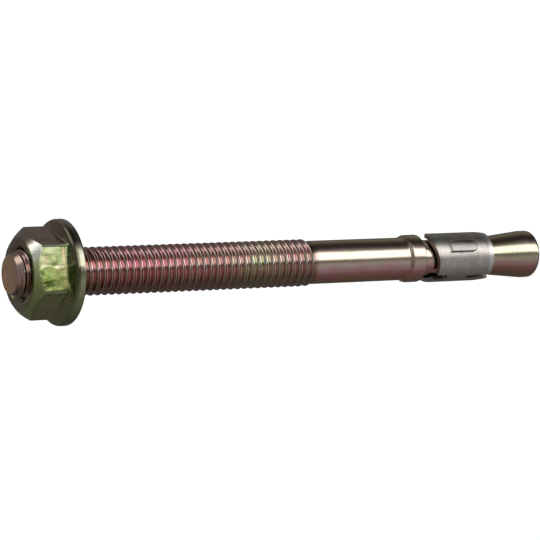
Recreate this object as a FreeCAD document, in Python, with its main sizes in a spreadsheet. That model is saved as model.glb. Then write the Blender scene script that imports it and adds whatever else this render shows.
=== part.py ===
import FreeCAD, Part
import math
import os
import re
import Sketcher

# Wedge anchor, millimetres.
# The frame stands on the flat end of the expansion cone: its centre is the origin and
# +Z runs along the stud to the threaded end, where the flange nut sits.

doc = FreeCAD.newDocument("wedge_anchor")
V = FreeCAD.Vector
UP = V(0, 0, 1)
MADE = []


# Driving dimensions

SIZES = [
    # stud, from the cone end to the threaded end
    ("overall_length", 96.5),
    ("end_diameter", 7.9),
    ("end_round", 0.8),
    ("end_land", 2.1),
    ("cone_length", 9.05),
    ("neck_diameter", 6.0),
    ("neck_length", 11.1),
    ("shoulder_length", 0.5),
    ("collar_diameter", 7.9),
    ("collar_edge_round", 0.3),
    ("collar_length", 2.25),
    ("collar_taper", 0.8),
    ("shank_diameter", 7.1),
    ("shank_length", 17.2),
    ("thread_diameter", 7.75),
    ("thread_root_diameter", 6.5),
    ("thread_pitch", 1.25),
    ("thread_crest_flat", 0.15),
    ("thread_runout", 0.9),
    ("groove_lead", 2.0),
    ("tip_diameter", 6.1),
    ("tip_lead", 1.0),
    # flange nut
    ("tip_projection", 1.55),
    ("across_flats", 12.85),
    ("hex_corner_round", 0.6),
    ("nut_height", 7.85),
    ("nut_chamfer_diameter", 11.2),
    ("nut_chamfer_angle", 40.0),
    ("flange_diameter", 16.8),
    ("rim_underside_round", 0.45),
    ("rim_height", 1.15),
    ("rim_upper_round", 0.9),
    ("flange_slope", 25.0),
    ("thread_clearance", 0.05),
    ("countersink_depth", 0.6),
    # expansion clip
    ("sheet_thickness", 0.7),
    ("clip_bore", 6.8),
    ("clip_over_cone", 1.65),
    ("cone_clearance", 0.05),
    ("shoulder_gap", 1.15),
    ("nose_length", 1.9),
    ("clip_wrap", 274.0),
    ("seam_corner_round", 0.8),
    ("slot_width", 1.3),
    ("slot_length", 3.1),
    ("slit_width", 0.7),
    ("slit_length", 4.8),
    ("leaf_corner_round", 0.6),
    ("mouth_angle", 12.0),
    ("mouth_slope", 16.0),
    ("mouth_depth", 1.05),
    ("lug_angle", 81.0),
    ("lug_arc", 29.0),
    ("lug_start", 3.4),
    ("lug_length", 5.05),
    ("lug_height", 0.45),
    ("lug_corner_round", 0.9),
    ("lug_round", 0.25),
    ("dent_inset", 6.0),
    ("clip_turn", -61.7),
    # how far a cut runs on past the metal
    ("cut_overrun", 1.0),
]

sheet = doc.addObject("Spreadsheet::Sheet", "Sizes")
for row, (name, value) in enumerate(SIZES, start=1):
    sheet.set("A%d" % row, name)
    sheet.set("B%d" % row, str(value))
    sheet.setAlias("B%d" % row, name)
doc.recompute()


def size(name):
    """The number held by one cell."""
    return float(sheet.get(name))


# Sketches and features

def linked(text):
    """An expression with every size name tied to its cell."""
    for name, value in SIZES:
        text = re.sub(r"\b%s\b" % name, "Sizes." + name, text)
    return text


def new_body(label):
    body = doc.addObject("PartDesign::Body", label)
    body.Label = label
    return body


def origin_plane(body, role):
    return [item for item in body.Origin.OriginFeatures if item.Role == role][0]


def new_sketch(body, name, role, turn=None):
    """A sketch on one of the body's own planes, turned about the sketch's upright axis."""
    sketch = body.newObject("Sketcher::SketchObject", name)
    sketch.AttachmentSupport = [(origin_plane(body, role), "")]
    sketch.MapMode = "FlatFace"
    if turn:
        angle = sketch.evalExpression(linked(turn))
        sketch.AttachmentOffset = FreeCAD.Placement(V(0, 0, 0), FreeCAD.Rotation(V(0, 1, 0), angle))
        sketch.setExpression("AttachmentOffset.Rotation.Angle", "( " + linked(turn) + " ) * 1 deg")
    return sketch


def pin_point(sketch, line, end, across, up):
    """Hold one end of a line at the place that two expressions give."""
    for kind, text in (("DistanceX", across), ("DistanceY", up)):
        value = sketch.evalExpression(linked(text))
        if abs(value) < 1e-9:
            axis = -2 if kind == "DistanceX" else -1
            sketch.addConstraint(Sketcher.Constraint("PointOnObject", line, end, axis))
        else:
            index = sketch.addConstraint(Sketcher.Constraint(kind, -1, 1, line, end, value))
            sketch.setExpression("Constraints[%d]" % index, linked(text))


def outline(sketch, corners):
    """A closed outline. Each corner is (across, up) or (across, up, radius), and a radius
    bends the side that leaves it: above zero to the left of the straight side, below to the
    right."""
    points = []
    for corner in corners:
        across = sketch.evalExpression(linked(corner[0]))
        up = sketch.evalExpression(linked(corner[1]))
        points.append(V(across, up, 0))
    sides = []
    count = len(corners)
    for index, corner in enumerate(corners):
        start = points[index]
        stop = points[(index + 1) % count]
        if len(corner) == 2:
            side = sketch.addGeometry(Part.LineSegment(start, stop), False)
            sides.append((side, 1, 2))
            continue
        bend = sketch.evalExpression(linked(corner[2]))
        radius = abs(bend)
        half = (stop - start) * 0.5
        left = UP.cross(half).normalize()
        reach = math.sqrt(max(radius ** 2 - half.Length ** 2, 0.0))
        centre = start + half + left * math.copysign(reach, -bend)
        circle = Part.Circle(centre, UP, radius)
        first = math.atan2(start.y - centre.y, start.x - centre.x)
        last = math.atan2(stop.y - centre.y, stop.x - centre.x)
        if bend > 0:
            arc = Part.ArcOfCircle(circle, last, first)
            side = sketch.addGeometry(arc, False)
            sides.append((side, 2, 1))
        else:
            arc = Part.ArcOfCircle(circle, first, last)
            side = sketch.addGeometry(arc, False)
            sides.append((side, 1, 2))
    for index in range(count):
        side, start_end, stop_end = sides[index]
        after, after_start, after_stop = sides[(index + 1) % count]
        sketch.addConstraint(Sketcher.Constraint("Coincident", side, stop_end, after, after_start))
    for index, corner in enumerate(corners):
        side, start_end, stop_end = sides[index]
        pin_point(sketch, side, start_end, corner[0], corner[1])
        if len(corner) == 3:
            radius = abs(sketch.evalExpression(linked(corner[2])))
            held = sketch.addConstraint(Sketcher.Constraint("Radius", side, radius))
            sketch.setExpression("Constraints[%d]" % held, "abs(" + linked(corner[2]) + ")")


def turned(body, kind, sketch, name, angle="360"):
    """A revolution or groove of a sketch about its upright axis, centred on the sketch."""
    feature = body.newObject("PartDesign::" + kind, name)
    feature.Profile = sketch
    feature.ReferenceAxis = (sketch, ["V_Axis"])
    feature.Midplane = angle != "360"
    feature.setExpression("Angle", linked(angle))
    return feature


def mirrored(body, name, role, features):
    """The features again on the other side of one of the body's planes."""
    doc.recompute()
    mirror = body.newObject("PartDesign::Mirrored", name)
    mirror.Originals = features
    mirror.MirrorPlane = (origin_plane(body, role), [""])
    body.Tip = mirror
    return mirror


def cut_front(body, sketch, name, depth):
    """A pocket from the body's upright middle plane out through the wall in front of it."""
    pocket = body.newObject("PartDesign::Pocket", name)
    pocket.Profile = sketch
    pocket.Type = 0
    pocket.setExpression("Length", linked(depth))
    pocket.Reversed = True
    return pocket


def edges_where(shape, test):
    """The names of a shape's edges whose middle point passes a test."""
    found = []
    for index, edge in enumerate(shape.Edges, start=1):
        middle = edge.valueAt((edge.FirstParameter + edge.LastParameter) / 2)
        if test(edge, middle):
            found.append("Edge%d" % index)
    return found


def rounded(body, name, radius, test):
    """A fillet on the edges of the body's last feature that pass a test."""
    doc.recompute()
    base = body.Tip
    found = edges_where(base.Shape, test)
    if not found:
        raise RuntimeError("no edges for " + name)
    fillet = body.newObject("PartDesign::Fillet", name)
    fillet.Base = (base, found)
    fillet.setExpression("Radius", linked(radius))
    doc.recompute()
    return fillet


# Heights and radii that several pieces share, as expressions of the sizes

CONE_TOP = "end_land + cone_length"
NECK_TOP = CONE_TOP + " + neck_length"
COLLAR_FOOT = NECK_TOP + " + shoulder_length"
COLLAR_TOP = COLLAR_FOOT + " + collar_length"
SHANK_FOOT = COLLAR_TOP + " + collar_taper"
SHANK_TOP = SHANK_FOOT + " + shank_length"
THREAD_FOOT = SHANK_TOP + " + thread_runout"
NUT_SEAT = "overall_length - tip_projection - nut_height"
CLIP_FOOT = CONE_TOP + " - clip_over_cone"
CLIP_LENGTH = "( neck_length + clip_over_cone - shoulder_gap )"


# Stud: one cold-formed rod with the cone, the neck, the collar and the threaded end.
# The turning has the diameter of the thread's crests. A right-hand groove winds up it, from a
# start in the shank on the +Y side, and runs out through the tip.

stud = new_body("anchor_bolt")
profile = new_sketch(stud, "stud_profile", "XZ_Plane")
outline(profile, [
    ("0", "0"),
    ("end_diameter / 2", "0"),
    ("end_diameter / 2", "end_land"),
    ("neck_diameter / 2", CONE_TOP),
    ("neck_diameter / 2", NECK_TOP),
    ("collar_diameter / 2", COLLAR_FOOT),
    ("collar_diameter / 2", COLLAR_TOP),
    ("shank_diameter / 2", SHANK_FOOT),
    ("shank_diameter / 2", SHANK_TOP),
    ("thread_diameter / 2", THREAD_FOOT),
    ("thread_diameter / 2", "overall_length - tip_lead"),
    ("tip_diameter / 2", "overall_length"),
    ("0", "overall_length"),
])
turned(stud, "Revolution", profile, "stud_turning")
rounded(stud, "cone_end_round", "end_round",
        lambda edge, middle: abs(middle.z) < 1e-6 and edge.Length > 1.0)
collar_foot = stud.evalExpression(linked(COLLAR_FOOT))
rounded(stud, "collar_rounding", "collar_edge_round",
        lambda edge, middle: abs(middle.z - collar_foot) < 1e-6)

groove_foot = "( %s - groove_lead )" % THREAD_FOOT
groove_half = "( thread_pitch - thread_crest_flat ) / 2"
groove_depth = "( thread_diameter - thread_root_diameter ) / 2"
past_crest = "thread_crest_flat / 3"
groove_mouth = "thread_diameter / 2 + %s * %s / ( %s )" % (past_crest, groove_depth, groove_half)
thread_groove = new_sketch(stud, "thread_groove_profile", "XZ_Plane", "90")
outline(thread_groove, [
    ("thread_root_diameter / 2", groove_foot),
    (groove_mouth, groove_foot + " - " + groove_half + " - " + past_crest),
    (groove_mouth, groove_foot + " + " + groove_half + " + " + past_crest),
])
thread = stud.newObject("PartDesign::SubtractiveHelix", "thread_groove")
thread.Profile = thread_groove
thread.ReferenceAxis = (thread_groove, ["V_Axis"])
thread.Mode = "pitch-height-angle"
thread.setExpression("Pitch", linked("thread_pitch"))
thread.setExpression("Height", linked("overall_length + thread_pitch / 2 - " + groove_foot))
MADE.append(stud)


# Flange nut: a hexagon and a sloped flange with a rounded rim, cold-formed in one piece.

nut = new_body("flange_nut")
nut.setExpression("Placement.Base.z", linked(NUT_SEAT))
hexagon = new_sketch(nut, "hexagon", "XY_Plane")
corner_reach = "across_flats / 2 / cos(30 deg)"
outline(hexagon, [
    (corner_reach, "0"),
    (corner_reach + " / 2", "across_flats / 2"),
    ("- " + corner_reach + " / 2", "across_flats / 2"),
    ("- " + corner_reach, "0"),
    ("- " + corner_reach + " / 2", "- across_flats / 2"),
    (corner_reach + " / 2", "- across_flats / 2"),
])
hex_pad = nut.newObject("PartDesign::Pad", "hexagon_pad")
hex_pad.Profile = hexagon
hex_pad.setExpression("Length", linked("nut_height"))
rounded(nut, "hexagon_corner_round", "hex_corner_round",
        lambda edge, middle: abs(middle.z - size("nut_height") / 2) < 1e-6)

flange = new_sketch(nut, "flange_profile", "XZ_Plane")
slope_top = "( flange_diameter / 2 - rim_upper_round + rim_upper_round * sin(flange_slope * 1 deg) )"
slope_height = "( rim_height + rim_upper_round * cos(flange_slope * 1 deg) )"
slope_foot = "( across_flats / 2 - hex_corner_round / 2 )"
slope_rise = "( %s - %s ) * tan(flange_slope * 1 deg)" % (slope_top, slope_foot)
outline(flange, [
    ("0", "0"),
    ("flange_diameter / 2 - rim_underside_round", "0", "- rim_underside_round"),
    ("flange_diameter / 2", "rim_underside_round"),
    ("flange_diameter / 2", "rim_height", "- rim_upper_round"),
    (slope_top, slope_height),
    (slope_foot, slope_height + " + " + slope_rise),
    ("0", slope_height + " + " + slope_rise),
])
turned(nut, "Revolution", flange, "flange_turning")

chamfer_run = "( across_flats - nut_chamfer_diameter / 2 )"
nut_chamfer = new_sketch(nut, "nut_chamfer_profile", "XZ_Plane")
outline(nut_chamfer, [
    ("nut_chamfer_diameter / 2", "nut_height"),
    ("across_flats", "nut_height - %s * tan(nut_chamfer_angle * 1 deg)" % chamfer_run),
    ("across_flats", "nut_height"),
])
turned(nut, "Groove", nut_chamfer, "nut_chamfer")

bore_radius = "( thread_diameter / 2 + thread_clearance )"
bore = new_sketch(nut, "bore_profile", "XZ_Plane")
outline(bore, [
    ("0", "0"),
    (bore_radius + " + countersink_depth", "0"),
    (bore_radius, "countersink_depth"),
    (bore_radius, "nut_height - countersink_depth"),
    (bore_radius + " + countersink_depth", "nut_height"),
    ("0", "nut_height"),
])
turned(nut, "Groove", bore, "nut_bore")
MADE.append(nut)


# Expansion clip: sheet steel, stamped and rolled round the neck. Its two leaves are open at
# the seam and joined by a bridge opposite, between a slot on the collar side and a slit on
# the cone side. The clip's own frame has the bridge towards -Y and the seam towards +Y.

clip = new_body("expansion_clip")
clip.Placement = FreeCAD.Placement(V(0, 0, 0), FreeCAD.Rotation(UP, size("clip_turn")))
clip.setExpression("Placement.Base.z", linked(CLIP_FOOT))
clip.setExpression("Placement.Rotation.Angle", linked("clip_turn * 1 deg"))
outer = "( clip_bore / 2 + sheet_thickness )"
cone_slope = "( end_diameter / 2 - neck_diameter / 2 ) / cone_length"
nose_bore = "( neck_diameter / 2 + clip_over_cone * %s + cone_clearance )" % cone_slope
wall = new_sketch(clip, "sheet_profile", "XZ_Plane", "- 90")
outline(wall, [
    (nose_bore, "0"),
    (nose_bore + " + sheet_thickness", "0"),
    (outer, "nose_length"),
    (outer, CLIP_LENGTH),
    ("clip_bore / 2", CLIP_LENGTH),
    ("clip_bore / 2", "nose_length"),
])
turned(clip, "Revolution", wall, "rolled_sheet", "clip_wrap")

beyond = "( %s + cut_overrun )" % outer
collar_side = new_sketch(clip, "collar_side_outline", "XZ_Plane")
outline(collar_side, [
    ("- slot_width / 2", CLIP_LENGTH + " + cut_overrun"),
    ("- slot_width / 2", CLIP_LENGTH + " - slot_length + slot_width / 2", "- slot_width / 2"),
    ("0", CLIP_LENGTH + " - slot_length", "- slot_width / 2"),
    ("slot_width / 2", CLIP_LENGTH + " - slot_length + slot_width / 2"),
    ("slot_width / 2", CLIP_LENGTH + " + cut_overrun"),
])
cut_front(clip, collar_side, "collar_side_slot", beyond)

leaf_side = "slit_width / 2 + leaf_corner_round"
cone_side = new_sketch(clip, "cone_side_outline", "XZ_Plane")
outline(cone_side, [
    ("slit_width / 2", "slit_length - slit_width / 2", "- slit_width / 2"),
    ("0", "slit_length", "- slit_width / 2"),
    ("- slit_width / 2", "slit_length - slit_width / 2"),
    ("- slit_width / 2", "leaf_corner_round", "leaf_corner_round"),
    ("- ( " + leaf_side + " )", "0"),
    ("- ( " + leaf_side + " )", "- cut_overrun"),
    (leaf_side, "- cut_overrun"),
    (leaf_side, "0", "leaf_corner_round"),
    ("slit_width / 2", "leaf_corner_round"),
])
cut_front(clip, cone_side, "cone_side_slit", beyond)

# The collar edge is sheared at a slant, deepest beside the bridge.

mouth = new_sketch(clip, "mouth_outline", "YZ_Plane", "mouth_angle")
mouth_end = "( mouth_depth / tan(mouth_slope * 1 deg) - %s )" % outer
outline(mouth, [
    (mouth_end, CLIP_LENGTH),
    ("- " + beyond, CLIP_LENGTH + " - mouth_depth - cut_overrun * tan(mouth_slope * 1 deg)"),
    ("- " + beyond, CLIP_LENGTH + " + cut_overrun"),
    (mouth_end, CLIP_LENGTH + " + cut_overrun"),
])
mouth_cut = clip.newObject("PartDesign::Pocket", "mouth_cut")
mouth_cut.Profile = mouth
mouth_cut.Type = 1
mouth_cut.Midplane = True

# At the seam each leaf has a square corner on the collar side and a round one on the cone side.

seam_corner = new_sketch(clip, "seam_corner_outline", "XZ_Plane", "clip_wrap / 2")
outline(seam_corner, [
    ("- seam_corner_round", "0", "- seam_corner_round"),
    ("0", "seam_corner_round"),
    ("cut_overrun", "seam_corner_round"),
    ("cut_overrun", "- cut_overrun"),
    ("- seam_corner_round", "- cut_overrun"),
])
seam_corner_cut = cut_front(clip, seam_corner, "seam_corner_cut", beyond)
mirrored(clip, "seam_corner_pair", "YZ_Plane", [seam_corner_cut])

# Each lug is pressed outwards from inside, with its collar end sheared square.

lug_seat = "( lug_angle - 90 )"
lug_top = "( lug_start + lug_length )"
lug = new_sketch(clip, "lug_profile", "XZ_Plane", lug_seat)
outline(lug, [
    (outer + " - sheet_thickness / 2", "lug_start"),
    (outer + " + lug_height", "lug_start"),
    (outer + " + lug_height", lug_top),
    (outer + " - sheet_thickness / 2", lug_top),
])
lug_turning = turned(clip, "Revolution", lug, "lug_turning", "lug_arc")
dent = new_sketch(clip, "dent_profile", "XZ_Plane", lug_seat)
outline(dent, [
    ("clip_bore / 2 - sheet_thickness / 2", "lug_start + sheet_thickness"),
    ("clip_bore / 2 + lug_height", "lug_start + sheet_thickness"),
    ("clip_bore / 2 + lug_height", lug_top),
    ("clip_bore / 2 - sheet_thickness / 2", lug_top),
])
dent_turning = turned(clip, "Groove", dent, "dent_turning", "lug_arc - 2 * dent_inset")
mirrored(clip, "lug_pair", "YZ_Plane", [lug_turning, dent_turning])
crown = size("clip_bore") / 2 + size("sheet_thickness") + size("lug_height")
square_end = size("lug_start") + size("lug_length")
rounded(clip, "lug_corners", "lug_corner_round",
        lambda edge, middle: math.hypot(middle.x, middle.y) > crown - size("lug_height") + 1e-3
        and abs(middle.z - size("lug_start")) < 1e-6 and abs(edge.tangentAt(edge.FirstParameter).z) < 1e-6
        and edge.Length < 2 * size("lug_height"))
rounded(clip, "lug_edges", "lug_round",
        lambda edge, middle: abs(math.hypot(middle.x, middle.y) - crown) < 1e-6
        and middle.z < square_end - 1e-6)
MADE.append(clip)


# Checks and files

doc.recompute()
for item in doc.Objects:
    if "Invalid" in item.State or "Error" in item.State:
        raise RuntimeError(item.Name + " failed: " + ", ".join(item.State))
for body in MADE:
    if body.Shape.isNull() or not body.Shape.isValid() or len(body.Shape.Solids) != 1:
        raise RuntimeError(body.Label + " is not one valid solid")
    print(body.Label, "volume", round(body.Shape.Volume, 2), "mm3")

os.makedirs("parts", exist_ok=True)
for body in MADE:
    body.Shape.exportStep("parts/%s.step" % body.Label)
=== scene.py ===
import math

import bmesh
import bpy
from mathutils import Matrix, Vector


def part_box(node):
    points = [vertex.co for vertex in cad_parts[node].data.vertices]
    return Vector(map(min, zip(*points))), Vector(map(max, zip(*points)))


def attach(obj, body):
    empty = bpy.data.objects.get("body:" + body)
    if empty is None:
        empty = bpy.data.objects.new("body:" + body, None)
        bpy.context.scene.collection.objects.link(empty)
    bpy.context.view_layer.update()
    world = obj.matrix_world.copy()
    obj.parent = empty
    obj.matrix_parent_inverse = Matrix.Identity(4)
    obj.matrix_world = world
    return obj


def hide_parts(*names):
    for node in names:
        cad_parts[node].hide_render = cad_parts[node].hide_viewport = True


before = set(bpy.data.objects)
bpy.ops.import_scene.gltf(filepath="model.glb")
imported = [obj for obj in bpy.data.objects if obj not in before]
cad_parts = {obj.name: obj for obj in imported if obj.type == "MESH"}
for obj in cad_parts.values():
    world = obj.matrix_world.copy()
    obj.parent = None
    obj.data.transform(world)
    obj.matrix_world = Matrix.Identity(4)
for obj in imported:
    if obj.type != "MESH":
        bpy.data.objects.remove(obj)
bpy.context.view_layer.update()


# Stud: a cold-formed steel rod with an expansion cone, a slim neck, a collar and a rolled
# M8 thread, all one piece. It is zinc plated and passivated, which leaves a thin glossy film
# that shifts between mauve-brown, olive and gold.

MM = 0.001
stud_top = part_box("anchor_bolt")[1].z
end_radius = 3.95 * MM
end_round = 0.8 * MM
end_land = 2.1 * MM
land_round = 1.6 * MM
cone_top = 11.15 * MM
neck_radius = 3.0 * MM
neck_top = 22.25 * MM
collar_foot = 22.75 * MM
collar_edge_round = 0.3 * MM
collar_top = 25.0 * MM
taper_round = 0.8 * MM
shank_radius = 3.55 * MM
shank_foot = 25.8 * MM
shank_top = 43.0 * MM
thread_foot = 43.9 * MM
crest_radius = 3.875 * MM
root_radius = 3.27 * MM
core_radius = root_radius - 0.02 * MM
tip_radius = 3.05 * MM
tip_lead = 1.0 * MM
tip_land = 0.27 * MM
tip_round = 0.12 * MM


def rounded_profile(corners, steps=8):
    """Points of a turned outline. Each corner is (radius, height, rounding)."""
    points = []
    for index, (radius, height, rounding) in enumerate(corners):
        here = Vector((radius, height))
        if rounding == 0:
            points.append(here)
            continue
        before = (Vector(corners[index - 1][:2]) - here).normalized()
        after = (Vector(corners[index + 1][:2]) - here).normalized()
        half = before.angle(after) / 2
        reach = rounding / math.tan(half)
        centre = here + (before + after).normalized() * (rounding / math.sin(half))
        start = here + before * reach - centre
        stop = here + after * reach - centre
        turn = start.angle_signed(stop)
        for step in range(steps + 1):
            points.append(centre + Matrix.Rotation(-turn * step / steps, 2) @ start)
    return points


def turned_mesh(name, points, segments):
    """A closed solid of revolution about Z, from a lower point on the axis to an upper one."""
    mesh = bpy.data.meshes.new(name)
    build = bmesh.new()
    rings = []
    for point in points:
        if point.x < 1e-9:
            rings.append([build.verts.new((0, 0, point.y))])
            continue
        ring = []
        for step in range(segments):
            turn = 2 * math.pi * step / segments
            across = point.x * math.cos(turn), point.x * math.sin(turn)
            ring.append(build.verts.new((*across, point.y)))
        rings.append(ring)
    for lower, upper in zip(rings, rings[1:]):
        for step in range(segments):
            after = (step + 1) % segments
            corners = [lower[step % len(lower)], lower[after % len(lower)],
                       upper[after % len(upper)], upper[step % len(upper)]]
            build.faces.new(list(dict.fromkeys(corners)))
    build.to_mesh(mesh)
    build.free()
    return mesh


def new_piece(name, mesh, material):
    piece = bpy.data.objects.new(name, mesh)
    bpy.context.scene.collection.objects.link(piece)
    mesh.materials.clear()
    mesh.materials.append(material)
    return piece


def shaded_smooth(mesh, edge_angle):
    """Smooth shading, with an edge kept crisp where its faces meet at more than the angle."""
    mesh.polygons.foreach_set("use_smooth", [True] * len(mesh.polygons))
    mesh.set_sharp_from_angle(angle=math.radians(edge_angle))
    mesh.update()


class Nodes:
    """A node tree being built: each call adds a node, fills its inputs and returns it."""

    def __init__(self, tree):
        self.tree = tree

    def add(self, kind, inputs=(), **settings):
        node = self.tree.nodes.new(kind)
        for key, value in settings.items():
            setattr(node, key, value)
        for key, value in dict(inputs).items():
            self.feed(node.inputs[key], value)
        return node

    def feed(self, socket, value):
        if isinstance(value, bpy.types.NodeSocket):
            self.tree.links.new(value, socket)
        else:
            socket.default_value = value

    def math(self, operation, first, second=0.0, third=0.0):
        node = self.tree.nodes.new("ShaderNodeMath")
        node.operation = operation
        for socket, value in zip(node.inputs, (first, second, third)):
            self.feed(socket, value)
        return node.outputs[0]

    def ramp(self, factor, stops, interpolation="EASE"):
        node = self.tree.nodes.new("ShaderNodeValToRGB")
        node.color_ramp.interpolation = interpolation
        elements = node.color_ramp.elements
        while len(elements) < len(stops):
            elements.new(0.5)
        for element, (place, colour) in zip(elements, stops):
            element.position = place
        for element, (place, colour) in zip(elements, stops):
            element.color = (*colour, 1.0)
        self.feed(node.inputs["Fac"], factor)
        return node.outputs["Color"]


def new_material(name):
    material = bpy.data.materials.new(name)
    material.use_nodes = True
    material.node_tree.nodes.clear()
    return material, Nodes(material.node_tree)


def distance_from_axis(nodes, place):
    """How far a place is from the Z axis."""
    flat = nodes.add("ShaderNodeVectorMath", {0: place, 1: (1.0, 1.0, 0.0)}, operation="MULTIPLY")
    length = nodes.add("ShaderNodeVectorMath", {0: flat.outputs[0]}, operation="LENGTH")
    return length.outputs["Value"]


def noise(nodes, place, scale, detail, roughness=0.5):
    """A noise pattern between 0 and 1. The scale is in waves per metre."""
    return nodes.add("ShaderNodeTexNoise", {
        "Vector": place, "Scale": scale, "Detail": detail, "Roughness": roughness}).outputs["Fac"]


def tint_round(nodes, place, stops):
    """A tint that changes round the Z axis, with wandering borders. Each stop is the angle in
    degrees from -Y, counter-clockwise seen from above, and a colour."""
    spot = nodes.add("ShaderNodeSeparateXYZ", {0: place})
    drift = noise(nodes, place, 420.0, 3.0)
    polar = nodes.math("ARCTAN2", spot.outputs["Y"], spot.outputs["X"])
    turns = nodes.math("MULTIPLY_ADD", polar, 1 / (2 * math.pi), 0.75)
    wander = nodes.math("MULTIPLY_ADD", drift, 0.06, -0.03)
    turns = nodes.math("ADD", turns, wander)
    return nodes.ramp(nodes.math("FRACT", turns),
                      [((angle + 180) / 360, colour) for angle, colour in stops], "LINEAR")


def blended(nodes, kind, factor, first, second):
    """The colour of two inputs mixed in one of the blend modes."""
    mix = nodes.add("ShaderNodeMix", data_type="RGBA", blend_type=kind)
    for index, value in ((0, factor), (6, first), (7, second)):
        nodes.feed(mix.inputs[index], value)
    return mix.outputs[2]


def stretched(nodes, place, scale):
    """The same place in a space that is stretched along the axes, for drawn or brushed marks."""
    return nodes.add("ShaderNodeMapping", {"Vector": place, "Scale": scale}).outputs[0]


def plated_steel(nodes, place, tint, roughness, grain, unevenness, swell_stretch=1.0):
    """Glossy zinc plating over a finely pitted surface, in a given tint."""
    fine = noise(nodes, place, 2600.0, 3.0, 0.65)
    waves = noise(nodes, stretched(nodes, place, (1.0, 1.0, 0.3)), 900.0, 2.0)
    swells = noise(nodes, stretched(nodes, place, (1.0, 1.0, swell_stretch)), 420.0, 1.0)
    speck = nodes.math("MULTIPLY_ADD", fine, 0.5, 0.75)
    height = nodes.math("ADD", fine, nodes.math("MULTIPLY", waves, 1.5))
    swell_bump = nodes.add("ShaderNodeBump", {
        "Height": swells, "Strength": unevenness, "Distance": 0.09 * MM})
    bump = nodes.add("ShaderNodeBump", {"Height": height, "Strength": grain, "Distance": 0.02 * MM,
                                        "Normal": swell_bump.outputs["Normal"]})
    rough = nodes.math("MULTIPLY_ADD", fine, 0.08, roughness - 0.04)
    shader = nodes.add("ShaderNodeBsdfPrincipled", {
        "Base Color": blended(nodes, "MULTIPLY", 1.0, tint, speck), "Metallic": 1.0,
        "Roughness": rough, "Normal": bump.outputs["Normal"]})
    nodes.add("ShaderNodeOutputMaterial", {"Surface": shader.outputs["BSDF"]})


stud_plating, nodes = new_material("stud_plating")
place = nodes.add("ShaderNodeTexCoord").outputs["Object"]
spot = nodes.add("ShaderNodeSeparateXYZ", {0: place})
level = nodes.math("DIVIDE", spot.outputs["Z"], stud_top)
from_axis = distance_from_axis(nodes, place)
film = noise(nodes, place, 300.0, 3.0, 0.6)
smooth_tint = tint_round(nodes, place, [
    (-180, (0.48, 0.36, 0.28)),
    (-120, (0.50, 0.38, 0.26)),
    (-80, (0.50, 0.33, 0.22)),
    (-66, (0.50, 0.27, 0.16)),
    (-50, (0.50, 0.215, 0.19)),
    (-40, (0.50, 0.225, 0.235)),
    (-30, (0.50, 0.27, 0.288)),
    (-20, (0.50, 0.335, 0.325)),
    (-10, (0.50, 0.40, 0.315)),
    (5, (0.50, 0.43, 0.36)),
    (18, (0.50, 0.44, 0.38)),
    (40, (0.50, 0.31, 0.26)),
    (55, (0.50, 0.38, 0.24)),
    (80, (0.50, 0.38, 0.25)),
    (120, (0.50, 0.32, 0.29)),
    (180, (0.48, 0.36, 0.28)),
])
cone_share = nodes.ramp(level, [(0.10, (1.0, 1.0, 1.0)), (0.14, (0.0, 0.0, 0.0))])
smooth_tint = blended(nodes, "MULTIPLY", cone_share, smooth_tint, (0.87, 0.94, 0.84, 1.0))
uneven_level = nodes.math("ADD", level, nodes.math("MULTIPLY_ADD", film, 0.10, -0.05))
flank_tint = nodes.ramp(uneven_level, [
    (0.44, (0.65, 0.39, 0.37)),
    (0.50, (0.65, 0.42, 0.37)),
    (0.56, (0.65, 0.54, 0.40)),
    (0.62, (0.65, 0.40, 0.36)),
    (0.72, (0.65, 0.34, 0.34)),
    (0.82, (0.65, 0.31, 0.33)),
    (0.90, (0.65, 0.41, 0.38)),
], "LINEAR")
# The crests are painted paler than the flanks: a painted highlight along each crest.
crest_highlight_share = nodes.ramp(nodes.math("DIVIDE", from_axis, crest_radius), [
    (0.965, (0.0, 0.0, 0.0)), (0.99, (0.8, 0.8, 0.8))])
thread_tint = blended(nodes, "MIX", crest_highlight_share, flank_tint, (0.68, 0.55, 0.49, 1.0))
# Round the thread: a hue change, with painted shade darkening it from -70 to -50 degrees and a
# painted highlight lightening it, paler and bluer, from -10 to 10 degrees.
thread_shade_and_highlight_round = tint_round(nodes, place, [
    (-180, (0.77, 0.77, 0.77)),
    (-110, (0.74, 0.74, 0.70)),
    (-70, (0.50, 0.49, 0.44)),
    (-50, (0.56, 0.53, 0.44)),
    (-32, (0.72, 0.67, 0.58)),
    (-10, (0.86, 0.83, 0.82)),
    (0, (0.72, 0.84, 0.86)),
    (10, (0.80, 0.91, 0.97)),
    (22, (0.77, 0.77, 0.77)),
    (180, (0.77, 0.77, 0.77)),
])
thread_tint = blended(nodes, "MULTIPLY", 1.0, thread_tint, thread_shade_and_highlight_round)
thread_share = nodes.ramp(level, [(0.449, (0.0, 0.0, 0.0)), (0.454, (1.0, 1.0, 1.0))])
stud_tint = blended(nodes, "MIX", thread_share, smooth_tint, thread_tint)
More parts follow.
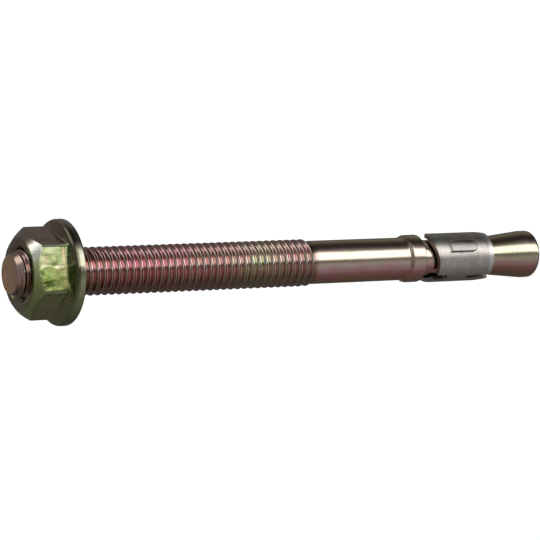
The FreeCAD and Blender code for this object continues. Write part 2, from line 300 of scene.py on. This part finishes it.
# The tip's end face is gold to pink, with a painted warm highlight that is brightest round a spot
# off its centre.
tip_share = nodes.math("GREATER_THAN", level, 0.9995)
tip_highlight_spot = (-0.2 * MM, 1.45 * MM, stud_top)
from_tip_highlight = nodes.add("ShaderNodeVectorMath", {0: place, 1: tip_highlight_spot}, operation="DISTANCE")
tip_tint_and_highlight = nodes.ramp(nodes.math("DIVIDE", from_tip_highlight.outputs["Value"], 5 * MM), [
    (0.06, (1.0, 0.62, 0.45)),
    (0.16, (1.0, 0.50, 0.33)),
    (0.30, (0.90, 0.50, 0.30)),
    (0.50, (0.78, 0.56, 0.30)),
    (0.85, (0.74, 0.46, 0.36)),
])
stud_tint = blended(nodes, "MIX", tip_share, stud_tint, tip_tint_and_highlight)
cloud = nodes.ramp(film, [(0.35, (0.88, 1.0, 0.90)), (0.65, (1.0, 0.90, 0.96))], "LINEAR")
stud_tint = blended(nodes, "MULTIPLY", 1.0, stud_tint, cloud)
run_out_level = nodes.math("ADD", level, nodes.math("MULTIPLY_ADD", film, 0.006, -0.003))
run_out_shade = nodes.ramp(run_out_level, [
    (0.4485, (1.0, 1.0, 1.0)),
    (0.4505, (0.50, 0.44, 0.42)),
    (0.4535, (0.55, 0.50, 0.47)),
    (0.4555, (1.0, 1.0, 1.0)),
], "LINEAR")
stud_tint = blended(nodes, "MULTIPLY", 1.0, stud_tint, run_out_shade)
stud_unevenness = nodes.math("MULTIPLY", nodes.math("SUBTRACT", 1.0, thread_share), 0.5)
plated_steel(nodes, place, stud_tint, 0.11, 0.35, stud_unevenness, 0.25)

stud_outline = rounded_profile([
    (0.0, 0.0, 0),
    (end_radius, 0.0, end_round),
    (end_radius, end_land, land_round),
    (neck_radius, cone_top, 0),
    (neck_radius, neck_top, 0),
    (end_radius, collar_foot, collar_edge_round),
    (end_radius, collar_top, taper_round),
    (shank_radius, shank_foot, taper_round),
    (shank_radius, shank_top, 0),
    (core_radius, thread_foot, 0),
    (core_radius, stud_top - tip_land, 0),
    (tip_radius, stud_top, tip_round),
    (0.0, stud_top, 0),
])
core_mesh = turned_mesh("stud_core", stud_outline, 144)
shaded_smooth(core_mesh, 35)

# The rolled thread: one ridge that winds from the run-out to the lead at the tip. Its section
# is a loop that closes inside the core, and it shrinks to a point at both ends. The ridge's
# foot and flank are in pitches, and the softness and closing depth in depths of the thread.

pitch = 1.25 * MM
thread_start = 42.8 * MM
thread_end = stud_top - 0.5 * MM
thread_sink = 0.12 * MM
crest_mark_turn = math.radians(175.3)
crest_mark_height = 82.81 * MM
ribbon_points = 2683
section_sides = 24
closing_sides = 2
ridge_foot = 0.392
ridge_flank = 0.33
crest_softness = 0.45
root_softness = 0.4
closing_depth = 2.4
closing_rate = 10.0
run_out_rate = 0.95
run_out_softness = 0.3
tip_rate = 6.0
seam_gap = 1e-7

thread_tree = bpy.data.node_groups.new("rolled_thread", "GeometryNodeTree")
thread_inputs = {
    "Crest Radius": crest_radius,
    "Root Radius": root_radius,
    "Pitch": pitch,
    "Start Height": thread_start,
    "Start Angle": crest_mark_turn + 2 * math.pi * (thread_start - crest_mark_height) / pitch,
    "Turns": (thread_end - thread_start) / pitch,
    "Lead Height": stud_top - tip_lead,
    "Lead Slope": (crest_radius - tip_radius) / tip_lead,
    "Sink": thread_sink,
}
for label in thread_inputs:
    thread_tree.interface.new_socket(label, in_out="INPUT", socket_type="NodeSocketFloat")
thread_tree.interface.new_socket("Material", in_out="INPUT", socket_type="NodeSocketMaterial")
thread_tree.interface.new_socket("Geometry", in_out="OUTPUT", socket_type="NodeSocketGeometry")
wind = Nodes(thread_tree)
given = wind.add("NodeGroupInput").outputs
ribbon = wind.add("GeometryNodeMeshGrid", {
    "Size X": 1.0, "Size Y": 1.0, "Vertices X": ribbon_points,
    "Vertices Y": section_sides + closing_sides + 1})
spot = wind.add("ShaderNodeSeparateXYZ", {0: wind.add("GeometryNodeInputPosition").outputs[0]})
along_ribbon = wind.math("ADD", spot.outputs["X"], 0.5)
round_section = wind.math("MULTIPLY", wind.math("ADD", spot.outputs["Y"], 0.5),
                          (section_sides + closing_sides) / section_sides)
past_section = wind.math("SUBTRACT", round_section, 1.0)
inward = wind.math("MULTIPLY", past_section, section_sides / closing_sides)
inward = wind.math("MAXIMUM", inward, 0.0)
across = wind.math("SUBTRACT", wind.math("MINIMUM", round_section, 1.0), 0.5)
offset = wind.math("SUBTRACT", across, inward)
from_foot = wind.math("SUBTRACT", ridge_foot, wind.math("ABSOLUTE", across))
flank = wind.math("DIVIDE", from_foot, ridge_flank)
flank = wind.math("SMOOTH_MIN", flank, 1.0, crest_softness)
flank = wind.math("SMOOTH_MAX", flank, 0.0, root_softness)
halfway = wind.math("MULTIPLY", inward, wind.math("SUBTRACT", 1.0, inward))
buried = wind.math("MULTIPLY", halfway, closing_depth)
closing = wind.math("MINIMUM", wind.math("MULTIPLY", inward, closing_rate), 1.0)
open_share = wind.math("SUBTRACT", 1.0, closing)
reach = wind.math("SUBTRACT", wind.math("MULTIPLY", flank, open_share), buried)
turns_done = wind.math("MULTIPLY", along_ribbon, given["Turns"])
turns_left = wind.math("SUBTRACT", given["Turns"], turns_done)
foot_swell = wind.math("MULTIPLY", turns_done, run_out_rate)
foot_swell = wind.math("SMOOTH_MIN", foot_swell, 1.0, run_out_softness)
tip_swell = wind.math("MINIMUM", wind.math("MULTIPLY", turns_left, tip_rate), 1.0)
swell = wind.math("MAXIMUM", wind.math("MULTIPLY", foot_swell, tip_swell), 0.0)
depth = wind.math("SUBTRACT", given["Crest Radius"], given["Root Radius"])
raised = wind.math("MULTIPLY", wind.math("MULTIPLY", reach, swell), depth)
sunk = wind.math("MULTIPLY", wind.math("SUBTRACT", 1.0, swell), given["Sink"])
radius = wind.math("SUBTRACT", wind.math("ADD", given["Root Radius"], raised), sunk)
climb = wind.math("ADD", turns_done, wind.math("MULTIPLY", offset, swell))
height = wind.math("MULTIPLY_ADD", climb, given["Pitch"], given["Start Height"])
above_lead = wind.math("MAXIMUM", wind.math("SUBTRACT", height, given["Lead Height"]), 0.0)
lead_radius = wind.math("SUBTRACT", given["Crest Radius"],
                        wind.math("MULTIPLY", above_lead, given["Lead Slope"]))
radius = wind.math("MINIMUM", radius, lead_radius)
turn = wind.math("MULTIPLY_ADD", turns_done, 2 * math.pi, given["Start Angle"])
corner = wind.add("ShaderNodeCombineXYZ", {
    "X": wind.math("MULTIPLY", radius, wind.math("COSINE", turn)),
    "Y": wind.math("MULTIPLY", radius, wind.math("SINE", turn)),
    "Z": height,
})
wound = wind.add("GeometryNodeSetPosition", {"Geometry": ribbon.outputs["Mesh"],
                                             "Position": corner.outputs[0]})
closed = wind.add("GeometryNodeMergeByDistance", {
    "Geometry": wound.outputs[0], "Distance": seam_gap})
real = wind.add("GeometryNodeRealizeInstances", {"Geometry": closed.outputs[0]})
dressed = wind.add("GeometryNodeSetMaterial", {
    "Geometry": real.outputs[0], "Material": given["Material"]})
wind.add("NodeGroupOutput", {0: dressed.outputs[0]})

thread_maker = bpy.data.objects.new("thread_maker", bpy.data.meshes.new("thread_maker"))
bpy.context.scene.collection.objects.link(thread_maker)
winder = thread_maker.modifiers.new("rolled_thread", "NODES")
winder.node_group = thread_tree
for item in thread_tree.interface.items_tree:
    if item.in_out == "INPUT":
        winder[item.identifier] = thread_inputs.get(item.name, stud_plating)
thread_mesh = bpy.data.meshes.new_from_object(
    thread_maker.evaluated_get(bpy.context.evaluated_depsgraph_get()))
bpy.data.objects.remove(thread_maker)

stud_build = bmesh.new()
stud_build.from_mesh(core_mesh)
stud_build.from_mesh(thread_mesh)
bmesh.ops.recalc_face_normals(stud_build, faces=stud_build.faces)
stud_mesh = bpy.data.meshes.new("threaded_stud")
stud_build.to_mesh(stud_mesh)
stud_build.free()
shaded_smooth(stud_mesh, 35)
stud = new_piece("threaded_stud", stud_mesh, stud_plating)
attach(stud, "stud")
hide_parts("anchor_bolt")


# Flange nut: a hexagon and a sloped washer flange, cold-formed in one piece of steel and
# threaded. Its plating is greener than the stud's.

nut_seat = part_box("flange_nut")[0].z
nut_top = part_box("flange_nut")[1].z
chamfer_radius = 5.6 * MM
chamfer_slope = math.tan(math.radians(40))
chamfer_inset = 0.12 * MM
chamfer_tolerance = 0.03 * MM
flat_radius = 6.4 * MM
corner_radius = 7.2 * MM
worn_radius = 7.44 * MM
worn_foot = 2.6 * MM
flat_foot = 2.64 * MM
peach_reflection_width = 0.62 * MM
shade_foot_width = 0.30 * MM
shade_top_width = 0.13 * MM
rim_radius = 8.1 * MM
upper_round_radius = 7.9 * MM
upper_round_foot = 1.1 * MM

nut_plating, nodes = new_material("nut_plating")
place = nodes.add("ShaderNodeTexCoord").outputs["Object"]
patches = noise(nodes, place, 700.0, 4.0, 0.6)
# The plating's tint differs round the nut. The narrow pale stripe from 1.5 to 3.5 degrees is a
# painted reflection line along the nut's front.
nut_tint = tint_round(nodes, place, [
    (-180, (0.38, 0.34, 0.22)),
    (-100, (0.38, 0.32, 0.23)),
    (-70, (0.39, 0.35, 0.23)),
    (-38, (0.38, 0.37, 0.21)),
    (-28, (0.25, 0.27, 0.11)),
    (-8, (0.205, 0.25, 0.09)),
    (0, (0.25, 0.28, 0.12)),
    (1.5, (0.60, 0.60, 0.42)),
    (3.5, (0.56, 0.56, 0.38)),
    (5, (0.26, 0.27, 0.155)),
    (24, (0.285, 0.31, 0.18)),
    (28, (0.36, 0.37, 0.26)),
    (36, (0.38, 0.33, 0.27)),
    (42, (0.40, 0.26, 0.24)),
    (90, (0.40, 0.25, 0.24)),
    (140, (0.38, 0.30, 0.22)),
    (180, (0.38, 0.34, 0.22)),
])
patchwork = nodes.ramp(patches, [
    (0.37, (0.40, 0.50, 0.32)),
    (0.46, (0.68, 0.78, 0.56)),
    (0.54, (0.93, 0.95, 0.82)),
    (0.64, (1.0, 0.86, 0.84)),
], "LINEAR")
patch_share = tint_round(nodes, place, [
    (-180, (0.3, 0.3, 0.3)),
    (-34, (0.3, 0.3, 0.3)),
    (-28, (1.0, 1.0, 1.0)),
    (26, (1.0, 1.0, 1.0)),
    (32, (0.3, 0.3, 0.3)),
    (180, (0.3, 0.3, 0.3)),
])
patchwork = blended(nodes, "MIX", patch_share, (0.75, 0.80, 0.65, 1.0), patchwork)
nut_tint = blended(nodes, "MULTIPLY", 1.0, nut_tint, patchwork)
spot = nodes.add("ShaderNodeSeparateXYZ", {0: place})
from_axis = distance_from_axis(nodes, place)
rubbed = nodes.math("MULTIPLY_ADD", patches, 0.3 * MM, from_axis)
above_flange = nodes.math("GREATER_THAN", spot.outputs["Z"], nut_seat + worn_foot)
corner_wear = nodes.math("MULTIPLY", above_flange, nodes.math("GREATER_THAN", rubbed, worn_radius))
corner_wear = nodes.math("MULTIPLY", corner_wear, 0.75)
nut_tint = blended(nodes, "MIX", corner_wear, nut_tint, (0.44, 0.43, 0.34, 1.0))
# The chamfer's tint is greenish, with a painted highlight, near white, from 18 to 36 degrees.
chamfer_tint_and_highlight = tint_round(nodes, place, [
    (-180, (0.40, 0.34, 0.26)),
    (-60, (0.42, 0.47, 0.20)),
    (-20, (0.45, 0.55, 0.21)),
    (8, (0.56, 0.64, 0.34)),
    (18, (1.0, 1.0, 0.84)),
    (36, (0.96, 0.95, 0.82)),
    (46, (0.42, 0.33, 0.27)),
    (180, (0.40, 0.34, 0.26)),
])
past_chamfer_radius = nodes.math("SUBTRACT", from_axis, chamfer_radius)
chamfer_drop = nodes.math("MULTIPLY", past_chamfer_radius, chamfer_slope)
chamfer_height = nodes.math("SUBTRACT", nut_top, chamfer_drop)
chamfer_gap = nodes.math("SUBTRACT", chamfer_height, spot.outputs["Z"])
on_chamfer = nodes.math("MULTIPLY", nodes.math("LESS_THAN", chamfer_gap, chamfer_tolerance),
                        nodes.math("GREATER_THAN", from_axis, chamfer_radius + chamfer_inset))
# The borders of the painted lines along the foot of the flats wander with the patches.
painted_line_wander = nodes.math("MULTIPLY", patches, 0.35 * MM)
above_slope = nodes.math("SUBTRACT", spot.outputs["Z"], nut_seat + flat_foot)
above_slope = nodes.math("ADD", above_slope, painted_line_wander)
off_slope = nodes.math("GREATER_THAN", spot.outputs["Z"], nut_seat + flat_foot + 0.02 * MM)
on_flat = nodes.math("MULTIPLY", nodes.math("GREATER_THAN", from_axis, flat_radius),
                     nodes.math("LESS_THAN", from_axis, corner_radius))
on_flat = nodes.math("MULTIPLY", on_flat, off_slope)
# A peach strip along the foot of the front flats is a painted reflection.
peach_reflection_edge = nodes.math("MULTIPLY", on_flat, nodes.math("LESS_THAN", above_slope, peach_reflection_width))
peach_reflection_round = tint_round(nodes, place, [
    (-40, (0.0, 0.0, 0.0)),
    (-28, (0.35, 0.35, 0.35)),
    (3, (0.45, 0.45, 0.45)),
    (8, (0.85, 0.85, 0.85)),
    (28, (0.85, 0.85, 0.85)),
    (34, (0.0, 0.0, 0.0)),
])
peach_reflection_edge = nodes.math("MULTIPLY", peach_reflection_edge, peach_reflection_round)
nut_tint = blended(nodes, "MIX", peach_reflection_edge, nut_tint, (0.40, 0.29, 0.16, 1.0))
# Painted shade: a dark line along the foot of every flat, where it meets the flange, and along its
# top edge under the chamfer.
painted_edge_shade = nodes.math("MAXIMUM", nodes.math("LESS_THAN", above_slope, shade_foot_width),
                       nodes.math("LESS_THAN", chamfer_gap, shade_top_width))
painted_edge_shade = nodes.math("MULTIPLY", nodes.math("MULTIPLY", on_flat, painted_edge_shade), 0.75)
nut_tint = blended(nodes, "MIX", painted_edge_shade, nut_tint, (0.09, 0.075, 0.05, 1.0))
nut_tint = blended(nodes, "MIX", on_chamfer, nut_tint, chamfer_tint_and_highlight)
on_rim = nodes.math("GREATER_THAN", from_axis, rim_radius)
# The flange's rim is painted darker than the rest of the nut, most from -100 to -60 degrees:
# painted shade over its tint.
rim_tint_and_shade = tint_round(nodes, place, [
    (-180, (0.30, 0.27, 0.20)),
    (-100, (0.25, 0.24, 0.15)),
    (-60, (0.25, 0.26, 0.14)),
    (-30, (0.29, 0.30, 0.17)),
    (-8, (0.30, 0.30, 0.20)),
    (8, (0.33, 0.32, 0.25)),
    (28, (0.30, 0.28, 0.23)),
    (50, (0.36, 0.31, 0.26)),
    (90, (0.38, 0.31, 0.29)),
    (180, (0.30, 0.27, 0.20)),
])
nut_tint = blended(nodes, "MIX", nodes.math("MULTIPLY", on_rim, 0.85), nut_tint, rim_tint_and_shade)
above_rim = nodes.math("GREATER_THAN", spot.outputs["Z"], nut_seat + upper_round_foot)
on_upper_round = nodes.math(
    "MULTIPLY", nodes.math("GREATER_THAN", from_axis, upper_round_radius), above_rim)
# A painted dark reflection on the upper rounding of the flange, from -15 to 40 degrees.
dark_reflection_round = tint_round(nodes, place, [
    (-180, (1.0, 1.0, 1.0)),
    (-45, (1.0, 1.0, 1.0)),
    (-15, (0.45, 0.44, 0.40)),
    (40, (0.42, 0.40, 0.36)),
    (70, (1.0, 1.0, 1.0)),
    (180, (1.0, 1.0, 1.0)),
])
nut_tint = blended(nodes, "MULTIPLY", on_upper_round, nut_tint, dark_reflection_round)
plated_steel(nodes, place, nut_tint, 0.12, 0.6, nodes.math("SUBTRACT", 1.0, on_chamfer))


def smooth_copy(node, name, material, edge_angle):
    """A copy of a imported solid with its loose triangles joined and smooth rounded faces."""
    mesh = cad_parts[node].data.copy()
    mesh.name = name
    build = bmesh.new()
    build.from_mesh(mesh)
    bmesh.ops.remove_doubles(build, verts=build.verts, dist=1e-6)
    build.to_mesh(mesh)
    build.free()
    shaded_smooth(mesh, edge_angle)
    piece = new_piece(name, mesh, material)
    weigher = piece.modifiers.new("even_shading", "WEIGHTED_NORMAL")
    weigher.keep_sharp = True
    piece.data = bpy.data.meshes.new_from_object(
        piece.evaluated_get(bpy.context.evaluated_depsgraph_get()))
    piece.modifiers.clear()
    return piece


nut = smooth_copy("flange_nut", "nut_with_flange", nut_plating, 20)

# The turned chamfer takes the true normals of its cone, so that its triangles don't show.

nut_mesh = nut.data
nut_normals = [corner.vector.copy() for corner in nut_mesh.corner_normals]
least_rise = 0.4
cone_tolerance = 0.005 * MM
for face in nut_mesh.polygons:
    corners = [nut_mesh.vertices[index].co for index in face.vertices]
    drops = [(math.hypot(spot.x, spot.y) - chamfer_radius) * chamfer_slope for spot in corners]
    off_cone = max(abs(nut_top - drop - spot.z) for spot, drop in zip(corners, drops))
    if face.normal.z < least_rise or off_cone > cone_tolerance:
        continue
    for corner, spot in zip(face.loop_indices, corners):
        outward = Vector((spot.x, spot.y, 0)).normalized()
        nut_normals[corner] = (outward * chamfer_slope + Vector((0, 0, 1))).normalized()
nut_mesh.normals_split_custom_set(nut_normals)
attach(nut, "nut")
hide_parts("flange_nut")


# Expansion clip: a strip of springy sheet steel, stamped and rolled round the neck. Its metal
# is a plain satin grey, with two lugs pressed outwards that bite into the hole.

clip_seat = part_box("expansion_clip")[0].z
lug_radius = 4.25 * MM
rubbed_height = 1.5 * MM

clip_metal, nodes = new_material("clip_metal")
place = nodes.add("ShaderNodeTexCoord").outputs["Object"]
cloud = noise(nodes, place, 500.0, 4.0, 0.6)
brushing = noise(nodes, stretched(nodes, place, (0.25, 0.25, 1.6)), 1400.0, 4.0, 0.7)
clip_grain = noise(nodes, place, 4200.0, 2.0)
clip_colour = nodes.ramp(cloud, [
    (0.30, (0.345, 0.32, 0.295)),
    (0.55, (0.41, 0.38, 0.355)),
    (0.75, (0.465, 0.435, 0.405)),
], "LINEAR")
from_axis = distance_from_axis(nodes, place)
brushed_tone = nodes.ramp(brushing, [
    (0.36, (0.84, 0.83, 0.82)),
    (0.52, (0.98, 0.98, 0.98)),
    (0.66, (1.07, 1.07, 1.07)),
], "LINEAR")
clip_colour = blended(nodes, "MULTIPLY", 1.0, clip_colour, brushed_tone)
spot = nodes.add("ShaderNodeSeparateXYZ", {0: place})
above_end = nodes.math("SUBTRACT", spot.outputs["Z"], clip_seat)
above_end = nodes.math("MULTIPLY_ADD", cloud, 1.2 * MM, above_end)
rubbed_edge = nodes.math("MULTIPLY", nodes.math("LESS_THAN", above_end, rubbed_height), 0.45)
clip_colour = blended(nodes, "MIX", rubbed_edge, clip_colour, (0.68, 0.66, 0.64, 1.0))
on_lug = nodes.math("GREATER_THAN", from_axis, lug_radius)
lug_shade = nodes.math("MULTIPLY", on_lug, 0.6)
clip_colour = blended(nodes, "MIX", lug_shade, clip_colour, (0.14, 0.135, 0.13, 1.0))
clip_relief = nodes.math("ADD", clip_grain, nodes.math("MULTIPLY", brushing, 1.2))
clip_bump = nodes.add("ShaderNodeBump", {
    "Height": clip_relief, "Strength": 0.8, "Distance": 0.022 * MM})
clip_rough = nodes.math("MULTIPLY_ADD", cloud, 0.2, 0.24)
clip_rough = nodes.math("MULTIPLY_ADD", on_lug, -0.14, clip_rough)
clip_shader = nodes.add("ShaderNodeBsdfPrincipled", {
    "Base Color": clip_colour, "Metallic": 1.0, "Roughness": clip_rough,
    "Normal": clip_bump.outputs["Normal"]})
nodes.add("ShaderNodeOutputMaterial", {"Surface": clip_shader.outputs["BSDF"]})

clip = smooth_copy("expansion_clip", "rolled_clip", clip_metal, 25)
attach(clip, "clip")
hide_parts("expansion_clip")


# Floor: a plain white table that the anchor stands on, with its cone end down.

floor_mesh = bpy.data.meshes.new("floor")
floor_build = bmesh.new()
bmesh.ops.create_grid(floor_build, x_segments=1, y_segments=1, size=3.0)
floor_build.to_mesh(floor_mesh)
floor_build.free()
floor_white, nodes = new_material("floor_white")
matte = nodes.add("ShaderNodeBsdfDiffuse", {"Color": (0.6, 0.6, 0.6, 1.0)})
seen_directly = nodes.add("ShaderNodeLightPath").outputs["Is Camera Ray"]
glow = nodes.add("ShaderNodeEmission", {
    "Color": (1.0, 1.0, 1.0, 1.0), "Strength": nodes.math("MULTIPLY", seen_directly, 0.9)})
floor_sum = nodes.add("ShaderNodeAddShader", {0: matte.outputs[0], 1: glow.outputs[0]})
nodes.add("ShaderNodeOutputMaterial", {"Surface": floor_sum.outputs[0]})
floor = new_piece("floor", floor_mesh, floor_white)
floor.visible_glossy = False
floor.visible_shadow = False


# Studio light: a white room with tall soft panels round the anchor. The angle runs round the
# stud from the camera's side, and each panel gives one lengthwise band on the metal.

world = bpy.data.worlds.new("studio")
bpy.context.scene.world = world
world.use_nodes = True
world.node_tree.nodes.clear()
room = Nodes(world.node_tree)
camera_side = 265.3
panel_peak = 3.0
softbox_level = 1.6
panels = [
    (-180, 0.14), (-150, 0.16), (-130, 0.24), (-118, 0.20), (-100, 0.09), (-88, 0.055),
    (-76, 0.07), (-64, 0.17), (-54, 0.5), (-42, 2.6), (-36, 2.9), (-14, 2.9), (-8, 1.2),
    (-2, 0.22), (8, 0.42), (20, 0.55), (45, 0.43), (70, 0.265), (100, 0.177), (130, 0.11),
    (180, 0.13),
]
upper_panels = [
    (-180, 0.17), (-135, 0.17), (-115, 0.28), (-60, 0.36), (0, 0.28), (45, 0.24), (85, 0.17),
    (130, 0.14), (180, 0.17),
]


def grey(level):
    return (level, level, level)


def panels_round(turns, stops):
    """Light round the stud, as a share of the peak. Each stop is an angle and a strength."""
    return room.ramp(turns, [((angle + 180) / 360, grey(strength / panel_peak))
                             for angle, strength in stops])


def soft_edged(place, start, full, fading, end):
    """A share that rises from 0 to 1 and falls again along a place."""
    return room.ramp(place, [(start, grey(0.0)), (full, grey(1.0)),
                             (fading, grey(1.0)), (end, grey(0.0))])


sky = room.add("ShaderNodeTexCoord").outputs["Generated"]
heading = room.add("ShaderNodeSeparateXYZ", {0: sky})
polar = room.math("ARCTAN2", heading.outputs["Y"], heading.outputs["X"])
round_turns = room.math("MULTIPLY_ADD", polar, -1 / (2 * math.pi), (camera_side + 180) / 360)
round_turns = room.math("FRACT", round_turns)
upper_share = room.ramp(heading.outputs["Z"], [(0.02, grey(0.0)), (0.35, grey(1.0))])
room_light = blended(room, "MIX", upper_share, panels_round(round_turns, panels),
                     panels_round(round_turns, upper_panels))
softbox_share = room.math("MULTIPLY", soft_edged(round_turns, 0.155, 0.195, 0.278, 0.347),
                          soft_edged(heading.outputs["Z"], 0.40, 0.55, 0.68, 0.86))
softbox_light = (*grey(softbox_level / panel_peak), 1.0)
room_light = blended(room, "MIX", softbox_share, room_light, softbox_light)
surround = room.add("ShaderNodeBackground", {"Color": room_light, "Strength": panel_peak})
white_room = room.add("ShaderNodeBackground", {"Color": (1.0, 1.0, 1.0, 1.0), "Strength": 1.0})
seen = room.add("ShaderNodeMixShader", {
    0: room.add("ShaderNodeLightPath").outputs["Is Camera Ray"],
    1: surround.outputs[0], 2: white_room.outputs[0]})
room.add("ShaderNodeOutputWorld", {"Surface": seen.outputs[0]})


# Camera: a long lens, turned on its side so that the stud lies across the picture.

camera_data = bpy.data.cameras.new("camera")
camera_data.sensor_width = 36.0
camera_data.lens = 197.6
camera_data.clip_start = 0.01
camera = bpy.data.objects.new("camera", camera_data)
bpy.context.scene.collection.objects.link(camera)
axis_turn = math.radians(29.07)
axis_tilt = math.radians(2.06)
cone_centre_seen = Vector((43.99, -2.78, 505.12)) * MM
towards = math.radians(camera_side)
downwards = math.radians(camera_side - 90)
to_camera = Vector((math.cos(towards), math.sin(towards), 0))
to_bottom = Vector((math.cos(downwards), math.sin(downwards), 0))
axis_seen = Vector((-math.cos(axis_turn) * math.cos(axis_tilt), math.sin(axis_tilt),
                    -math.sin(axis_turn) * math.cos(axis_tilt)))
middle_seen = cone_centre_seen + axis_seen * stud_top / 2
to_camera_seen = -middle_seen.normalized()
to_camera_seen = (to_camera_seen - axis_seen * to_camera_seen.dot(axis_seen)).normalized()
to_bottom_seen = axis_seen.cross(to_camera_seen)
if to_bottom_seen.y < 0:
    to_bottom_seen.negate()
seen_from_frame = Matrix((to_camera_seen, to_bottom_seen, axis_seen)).transposed() @ Matrix(
    (to_camera, to_bottom, Vector((0, 0, 1))))
frame_from_seen = seen_from_frame.transposed()
camera_turn = frame_from_seen @ Matrix(((1, 0, 0), (0, -1, 0), (0, 0, -1)))
camera.matrix_world = Matrix.Translation(frame_from_seen @ -cone_centre_seen) @ camera_turn.to_4x4()
bpy.context.scene.camera = camera
bpy.context.scene.view_settings.view_transform = "Standard"
